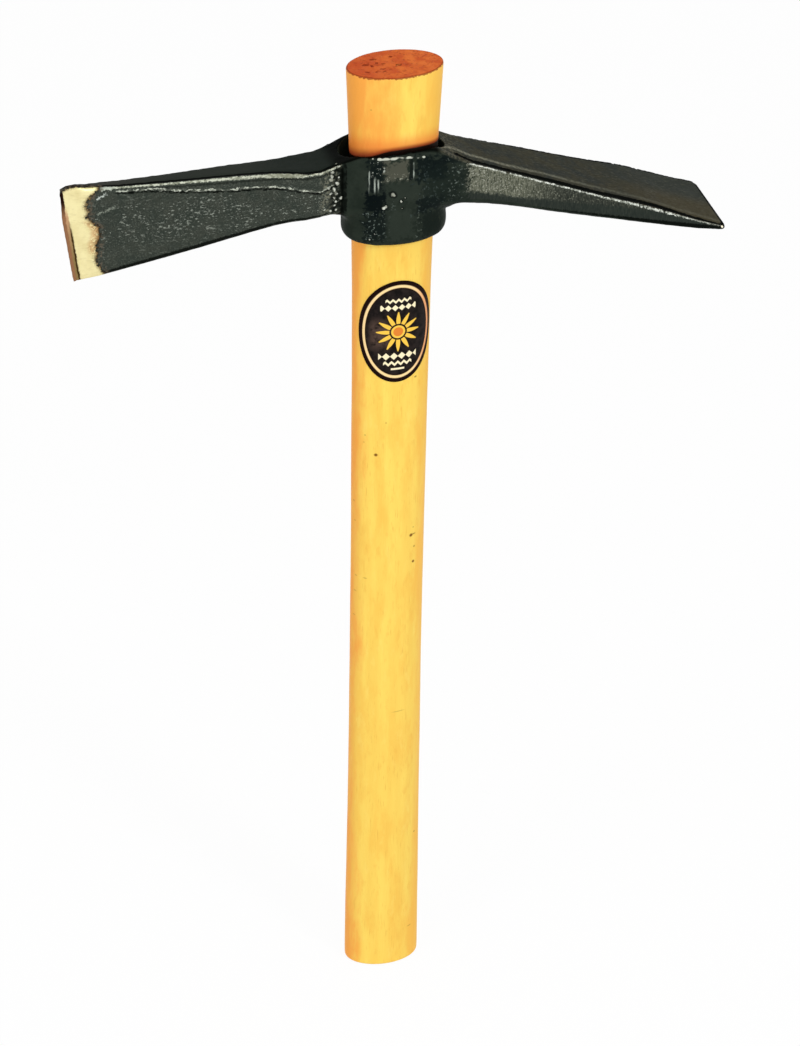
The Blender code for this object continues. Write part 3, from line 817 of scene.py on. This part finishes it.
handleShape = {
    "capRings": 13,                  # rings of faces on each end
    "waves": (0.050, 0.00018),
    "sawMarks": 0.00010,
    "eyeRim": {"centre": 0.002, "bow": 9.47, "height": 0.3696},        # the rim's line, a parabola, along which shadow is painted on the handle
    "pitDepth": 0.0006,
    "pits": [                        # (x, y, radius) of the holes in the end grain
        (-0.0107, 0.0018, 0.0007), (-0.0068, 0.0049, 0.0005), (-0.0063, 0.0020, 0.0006),
        (-0.0056, -0.0028, 0.0005), (-0.0080, -0.0050, 0.0004), (-0.0002, 0.0056, 0.0005),
        (0.0010, -0.0012, 0.0008), (-0.0088, 0.0000, 0.0004), (-0.0118, -0.0040, 0.0005),
        (-0.0040, 0.0006, 0.0004), (-0.0053, -0.0050, 0.0004),
    ],
    "specks": [                      # (x, y, z, radius, length, share) of the dark specks in the wood
        (-0.0075, -0.0083, 0.2400, 0.00060, 1.1, 0.95), (0.0069, -0.0085, 0.2020, 0.00065, 1.1, 0.95),
        (0.0080, -0.0080, 0.2022, 0.00025, 3.5, 0.70), (0.0084, -0.0078, 0.1964, 0.00040, 1.0, 0.60),
        (0.0081, -0.0080, 0.1897, 0.00055, 1.0, 0.95), (0.0078, -0.0081, 0.2053, 0.00030, 1.0, 0.40),
        (-0.0040, -0.0094, 0.2541, 0.00035, 1.0, 0.35), (-0.0112, -0.0062, 0.2481, 0.00035, 1.0, 0.35),
        (-0.0115, -0.0059, 0.2449, 0.00030, 1.0, 0.30), (0.0075, -0.0084, 0.2721, 0.00040, 1.4, 0.65),
        (-0.0106, -0.0065, 0.1841, 0.00025, 3.0, 0.40), (0.0027, -0.0095, 0.1222, 0.00022, 11.0, 0.30),
        (0.0112, -0.0063, 0.0611, 0.00035, 1.3, 0.55), (0.0094, -0.0077, 0.0162, 0.00025, 4.0, 0.35),
        (-0.0140, -0.0020, 0.2172, 0.00040, 1.5, 0.32), (-0.0137, -0.0027, 0.2086, 0.00035, 1.5, 0.26),
        (-0.0133, -0.0034, 0.1841, 0.00030, 2.0, 0.30), (-0.0135, -0.0030, 0.1770, 0.00035, 2.0, 0.26),
        (-0.0136, -0.0026, 0.1658, 0.00030, 2.5, 0.26), (-0.0113, -0.0087, 0.3870, 0.00035, 1.0, 0.30),
    ],
}


def makeHandle():
    handle = copyOfNode("handle", "wooden_handle")
    only(handle)
    bpy.ops.object.mode_set(mode="EDIT")
    bpy.ops.mesh.select_mode(type="FACE")
    bpy.ops.mesh.select_all(action="DESELECT")
    bpy.ops.object.mode_set(mode="OBJECT")
    for face in handle.data.polygons:                     # both flat ends, each as one face
        face.select = abs(face.normal.z) > 0.99
    bpy.ops.object.mode_set(mode="EDIT")
    bpy.ops.mesh.dissolve_faces()
    for ring in range(handleShape["capRings"], 1, -1):
        bpy.ops.mesh.inset(thickness=0.0)
        share = (ring - 1) / ring
        bpy.ops.transform.resize(value=(share, share, 1.0), center_override=(0.0, 0.0, 0.0))
    bpy.ops.mesh.poke()
    widest = math.radians(60)
    editAll(handle, bpy.ops.mesh.tris_convert_to_quads, face_threshold=widest, shape_threshold=widest)
    rounding = handle.modifiers.new("round", "SUBSURF")
    rounding.levels = 2
    rounding.render_levels = 2
    applyModifiers(handle)

    ripple(handle, "handleWaves", *handleShape["waves"])
    applyModifiers(handle)
    sculpt(handle, -handleShape["pitDepth"], endPits)
    sculpt(handle, handleShape["sawMarks"], sawMarks)
    return smoothed(handle)


def endPits(place, normal):
    if place.z < handleTop - 0.002:
        return 0.0
    pits = handleShape["pits"]
    skewed = place + 0.0009 * Vector((lumpy(place, 0.0012), lumpy(place.yxz, 0.0012), 0.0))
    aways = [math.hypot(skewed.x - x, (skewed.y - y) * 1.3) / radius for x, y, radius in pits]
    return max(ramp(away, 1.5, 0.4) for away in aways)


def sawMarks(place, normal):
    if normal.z < 0.7:
        return 0.0
    return 0.5 + 0.5 * lumpy(place, 0.0009, (0.8, 5.0, 1.0))


def makeWood():
    material, tree, place, normal = startMaterial("varnished_wood")
    x, _, z = parts(place)
    up = parts(normal)[2]

    # clouds, long streaks, growth rings cut at a slant, and fine pores
    clouds = grain(place, 0.0080, (1.0, 1.0, 4.0), detail=5.0, rough=0.60)
    streaks = grain(place, 0.0045, (1.0, 1.0, 18.0), detail=4.0, rough=0.55)
    pores = grain(place, 0.00045, (1.0, 1.0, 14.0), detail=2.0)
    slanted = addNode(tree, "Mapping", {
        "Vector": place,
        "Location": (0.004, 0.030, 0.0),
        "Rotation": (math.radians(3.0), math.radians(-1.2), 0.0),
    })
    rings = addNode(tree, "TexWave", {
        "Vector": slanted, "Scale": 70.0, "Distortion": 3.5, "Detail": 3.0, "Detail Scale": 0.8,
    }, "Fac", wave_type="RINGS", rings_direction="Z")
    small = grain(place, 0.0032, (1.0, 1.0, 3.0), detail=4.0, rough=0.6)
    wood = shades(rise(streaks, 0.30, 0.70), (252, 217, 100), (248, 208, 93))
    wood = over(wood, rise(clouds, 0.46, 0.66, 0.0, 0.6), 246, 192, 80)
    wood = over(wood, rise(small, 0.56, 0.70, 0.0, 0.4), 252, 222, 112)
    wood = over(wood, rise(small, 0.44, 0.30, 0.0, 0.4), 240, 184, 76)
    wood = over(wood, rings * 0.12, 240, 182, 72)
    wood = over(wood, rise(pores, 0.62, 0.75) * 0.40, 222, 158, 60)

    # partly the wood's own colour, partly painted shade: redder towards both edges of the front, and in
    # the top's left half
    across = x + rise(clouds, 0.25, 0.75, -0.0022, 0.0022)
    redTop = rise(z, 0.345, 0.372) * rise(across, 0.0010, -0.0070) * rise(small, 0.3, 0.7, 0.9, 0.5)
    wood = over(wood, most(rise(across, -0.0105, -0.0150), redTop), 247, 167, 70)
    wood = over(wood, rise(across, 0.0075, 0.0130, 0.0, 0.75), 250, 190, 78)

    # painted shadow where the handle enters the eye, along the line of the rim: black right under it, then
    # red-brown and orange shade, partly a stain in the wood
    rim = handleShape["eyeRim"]
    offCentre = x - rim["centre"]
    height = z + offCentre * offCentre * rim["bow"] - rim["height"]
    inEye = rise(z, 0.3300, 0.3400)
    toLeft = rise(x, -0.004, -0.013)
    orange = rise(height - toLeft * 0.0020, 0.0085, 0.0018)
    wood = over(wood, orange * inEye * 0.75, 238, 132, 54)
    brown = rise(height, rise(toLeft, 0, 1, 0.0030, 0.0040), rise(toLeft, 0, 1, 0.0012, -0.0002))
    brownTone = shades(toLeft, (140, 50, 18), (158, 60, 36))
    wood = blend(brown * inEye * 0.9, wood, brownTone)
    # painted shadow right under the rim
    rimShadow = rise(height + toLeft * 0.0013, 0.0014, 0.0006)
    wood = over(wood, rimShadow * inEye, 20, 9, 5)

    for speckX, speckY, speckZ, radius, length, share in handleShape["specks"]:
        away = vector("SUBTRACT", place, (speckX, speckY, speckZ))
        away = vector("LENGTH", vector("MULTIPLY", away, (1 / length, 1 / length, 1.0)))
        wood = over(wood, rise(away, 1.5 * radius, 0.5 * radius, 0.0, share), 112, 62, 0)

    # end grain
    patches = grain(place, 0.005, detail=5.0, rough=0.6)
    endGrain = shades(rise(patches, 0.36, 0.64), (194, 82, 34), (218, 110, 46))
    endGrain = over(endGrain, rise(across, 0.002, -0.0150, 0.0, 0.6), 190, 74, 32)
    endPores = rise(grain(place, 0.0009, (1.6, 1.0, 1.0), detail=3.0), 0.57, 0.66)
    endGrain = over(endGrain, endPores * 0.6, 158, 60, 20)
    # painted shade in the pits
    endGrain = over(endGrain, painted(tree, "endPits") * 0.85, 128, 42, 10)
    onEnd = rise(up, 0.55, 0.80) * rise(z, handleTop - 0.002, handleTop - 0.001)
    reach = z + rise(grain(place, 0.0010), 0.25, 0.75, -0.0003, 0.0003)
    topEdge = rise(reach, handleTop - 0.0007, handleTop - 0.0003) * rise(up, 0.995, 0.95)
    wood = over(blend(onEnd, wood, endGrain), topEdge * 0.85, 140, 48, 16)

    relief = rings * 0.15 - pores * 0.5 - onEnd * endPores * 0.8
    finishShader(tree, relief, 0.00012, {
        "Base Color": wood,
        "Roughness": rise(streaks, 0.3, 0.7, 0.42, 0.52) + onEnd * 0.25,
        "Specular IOR Level": 0.12,
    })
    return material


handle = makeHandle()
handle.data.materials.append(makeWood())
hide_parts("handle")
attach(handle, "root")


# The label: a thin oval sticker laid round the handle, printed with a plain sunburst

labelShape = {
    "width": 0.0310,                 # along its bend
    "sides": 128,
    "rings": 14,
    "gap": 0.00004,                  # glue
    "thickness": 0.00014,
    "wrapSteps": 12,
}


def handleRings():                   # (z, half width, half thickness) up the CAD handle
    rings = {}
    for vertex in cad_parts["handle"].data.vertices:
        key = round(vertex.co.z, 5)
        wide, thick = rings.get(key, (0.0, 0.0))
        rings[key] = (max(wide, vertex.co.x), max(thick, vertex.co.y))
    return sorted((z, wide, thick) for z, (wide, thick) in rings.items())


def wrapped(distance, z, widths, thicknesses):            # a place on the handle's skin
    wide = between(widths, z) + labelShape["gap"]
    thick = between(thicknesses, z) + labelShape["gap"]
    angle = 0.0
    for _ in range(labelShape["wrapSteps"]):
        pace = math.hypot(wide * math.cos(angle), thick * math.sin(angle))
        angle += distance / labelShape["wrapSteps"] / pace
    return Vector((wide * math.sin(angle), -thick * math.cos(angle), z))


def makeLabel():
    low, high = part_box("label")
    height = high.z - low.z
    bpy.ops.object.select_all(action="DESELECT")
    bpy.ops.mesh.primitive_circle_add(vertices=labelShape["sides"], radius=0.5, fill_type="NGON")
    label = bpy.context.object
    label.name = "oval_label"
    bpy.ops.object.mode_set(mode="EDIT")
    bpy.ops.mesh.select_all(action="SELECT")
    for _ in range(labelShape["rings"] - 1):
        bpy.ops.mesh.inset(thickness=0.5 / labelShape["rings"])
    bpy.ops.mesh.poke()
    bpy.ops.object.mode_set(mode="OBJECT")

    flatPrint = label.data.uv_layers.new(name="print")
    for loop in label.data.loops:                         # the print lies flat on the oval
        flat = label.data.vertices[loop.vertex_index].co
        flatPrint.data[loop.index].uv = (flat.x + 0.5, flat.y + 0.5)
    rings = handleRings()
    widths = [(z, wide) for z, wide, _ in rings]
    thicknesses = [(z, thick) for z, _, thick in rings]
    for vertex in label.data.vertices:
        distance = vertex.co.x * labelShape["width"]
        z = (low.z + high.z) / 2 + vertex.co.y * height
        vertex.co = wrapped(distance, z, widths, thicknesses)
    editAll(label, bpy.ops.mesh.normals_make_consistent, inside=False)
    wall = label.modifiers.new("paper", "SOLIDIFY")
    wall.thickness = labelShape["thickness"]
    wall.offset = 1.0
    applyModifiers(label)
    only(label)
    bpy.ops.object.shade_smooth_by_angle(angle=math.radians(50))
    print("oval_label", len(label.data.polygons), "faces")
    return label


labelPrint = {                       # in millimetres
    "rays": 12,
    "raySpan": (5.9, 2.5),           # their middle and half length, out from the label's middle
    "disc": 2.7,
    "core": 1.9,
    "lozenges": [(10.3, 1.3, 2.6, 6.9), (-10.4, 1.5, 3.0, 7.4)],       # y, half size, pitch, reach
    "zigzags": [(13.2, 0.50, 2.2, 5.0), (-13.5, 0.55, 2.4, 5.5)],
    "ringOuter": (1.75, 1.75),       # ovals, so far in from the label's edge, across and up
    "ringInner": (2.75, 2.85),
    "ground": (3.20, 3.40),
}


def makePrint(height):
    material, tree, place, _ = startMaterial("printed_label", "UV")
    halfWidth = 500 * labelShape["width"]
    halfHeight = 500 * height
    flat = addNode(tree, "Mapping", {                     # millimetres from the middle
        "Vector": place,
        "Location": (-halfWidth, -halfHeight, 0.0),
        "Scale": (2 * halfWidth, 2 * halfHeight, 1.0),
    })
    x, y, _ = parts(flat)

    def oval(inX, inY, soft=0.012):                       # 1 inside it
        scaled = vector("MULTIPLY", flat, (1 / (halfWidth - inX), 1 / (halfHeight - inY), 0.0))
        return rise(vector("LENGTH", scaled), 1 + soft, 1 - soft)

    def within(value, centre, half, soft=0.12):           # 1 where value is near centre
        return rise(abs(value - centre), half + soft, half - soft)

    def folded(pitch):                                    # how far x is from a row's nearest tip
        return maths("PINGPONG", x + pitch * 0.5, pitch * 0.5)

    def lozenges(centre, half, pitch, reach):             # a row of small lozenges
        away = folded(pitch) + abs(y - centre)
        return rise(away, half + 0.1, half - 0.1) * within(x, 0.0, reach)

    def zigzag(centre, half, pitch, reach):               # a row of chevrons
        tall = y - centre - folded(pitch)
        return within(tall, -0.25 * pitch, half) * within(x, 0.0, reach)

    mottle = grain(flat, 3.0, detail=4.0, rough=0.6)
    ink = shades(rise(mottle, 0.35, 0.65), (14, 11, 10), (38, 31, 29))
    brown = within(x, -7.0, 3.6, 1.6) * within(y, -1.0, 5.5, 3.0) * rise(mottle, 0.30, 0.55, 0.0, 0.85)
    ink = over(ink, brown, 84, 66, 57)
    cream = colour(250, 236, 196)
    gold = colour(248, 200, 78)
    waves = maths("COSINE", maths("ARCTAN2", y, x) * labelPrint["rays"])
    reach = vector("LENGTH", flat)
    taper = rise(reach, 3.4, 8.4, -0.75, 0.95)
    rays = rise(waves - taper, -0.08, 0.08) * within(reach, *labelPrint["raySpan"], 0.1)
    ink = blend(rays, ink, gold)
    ink = blend(within(reach, 0.0, labelPrint["disc"], 0.1), ink, gold)
    ink = over(ink, within(reach, 0.0, labelPrint["core"], 0.1), 226, 132, 52)
    for row in labelPrint["lozenges"]:
        ink = blend(lozenges(*row), ink, cream)
    for row in labelPrint["zigzags"]:
        ink = blend(zigzag(*row), ink, cream)
    ink = blend(within(x, 0.0, 2.6) * within(y, -15.9, 0.40), ink, cream)
    ring = oval(*labelPrint["ringOuter"]) * (1.0 - oval(*labelPrint["ringInner"]))
    ink = over(ink, 1.0 - oval(*labelPrint["ground"]), 22, 4, 2)
    ringTone = shades(rise(x, 5.0, 13.0), (252, 218, 158), (238, 166, 112))
    ink = blend(ring, ink, ringTone)
    finishShader(tree, grain(flat, 0.4, detail=2.0), 0.00002, {
        "Base Color": ink,
        "Roughness": rise(mottle, 0.3, 0.7, 0.36, 0.48),
        "Specular IOR Level": 0.05,
    })
    return material


label = makeLabel()
label.data.materials.append(makePrint(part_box("label")[1].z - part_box("label")[0].z))
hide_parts("label")
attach(label, "root")


# The stage: a pale floor, soft lights and the camera

stageSet = {
    "floorReach": 12.0,
    "floorWhite": 0.95,              # share of plain white in the floor that the camera sees
    "skyLight": 0.58,                # what the white surroundings shine with
    "camera": {
        "azimuth": -16.789, "elevation": 32.165, "roll": -1.015, "distance": 2.0,
        "target": (0.0050, 0.0, 0.20257), "lens": 179.86,
    },
    "lamps": [                       # name, place, aim, size, watts
        ("keyLamp", (0.7, -1.5, 1.5), (0.0, 0.0, 0.25), 0.35, 14.0),
        ("fillLamp", (-1.4, -1.0, 0.8), (0.0, 0.0, 0.25), 0.5, 6.0),
        ("topLamp", (-0.2, -0.3, 1.9), (0.0, 0.0, 0.3), 0.5, 4.0),
    ],
}


def seenItself(tree):                # 1 for what the camera sees, also in a mirror or through glass
    rays = ("Is Camera Ray", "Is Glossy Ray", "Is Transmission Ray")
    return most(*(addNode(tree, "LightPath", output=ray) for ray in rays))


def makeFloor():
    bpy.ops.object.select_all(action="DESELECT")
    bpy.ops.mesh.primitive_plane_add(size=stageSet["floorReach"])
    floor = bpy.context.object
    floor.name = "floor"
    material = bpy.data.materials.new("pale_floor")
    material.use_nodes = True
    tree = material.node_tree
    tree.nodes.remove(tree.nodes["Principled BSDF"])
    matt = addNode(tree, "BsdfDiffuse", {"Color": (0.95, 0.95, 0.95, 1.0)})
    white = addNode(tree, "Emission", {"Color": (1.0, 1.0, 1.0, 1.0), "Strength": 1.0})
    mixed = addNode(tree, "MixShader", {0: seenItself(tree) * stageSet["floorWhite"], 1: matt, 2: white})
    fill(tree.nodes["Material Output"], {"Surface": mixed})
    floor.data.materials.append(material)


def makeWorld():
    world = bpy.data.worlds.new("studio")
    world.use_nodes = True
    tree = world.node_tree
    light = rise(seenItself(tree), 0.0, 1.0, stageSet["skyLight"], 1.0)
    fill(tree.nodes["Background"], {"Color": (1.0, 1.0, 1.0, 1.0), "Strength": light})
    bpy.context.scene.world = world


def makeLamp(name, place, aim, size, watts):
    bpy.ops.object.light_add(type="AREA", location=place)
    lamp = bpy.context.object
    lamp.name = name
    lamp.data.size = size
    lamp.data.energy = watts
    lamp.rotation_euler = (Vector(aim) - Vector(place)).to_track_quat("-Z", "Y").to_euler()


def makeCamera():
    view = stageSet["camera"]
    bpy.ops.object.camera_add()
    camera = bpy.context.object
    camera.data.sensor_width = 36.0
    camera.data.lens = view["lens"]
    camera.matrix_world = (
        Matrix.Translation(view["target"])
        @ Matrix.Rotation(math.radians(view["azimuth"]), 4, "Z")
        @ Matrix.Rotation(math.radians(90 - view["elevation"]), 4, "X")
        @ Matrix.Rotation(math.radians(-view["roll"]), 4, "Z")
        @ Matrix.Translation((0.0, 0.0, view["distance"]))
    )
    bpy.context.scene.camera = camera


makeFloor()
makeWorld()
for lamp in stageSet["lamps"]:
    makeLamp(*lamp)
makeCamera()
bpy.context.scene.view_settings.view_transform = "Standard"
print("stage ready")
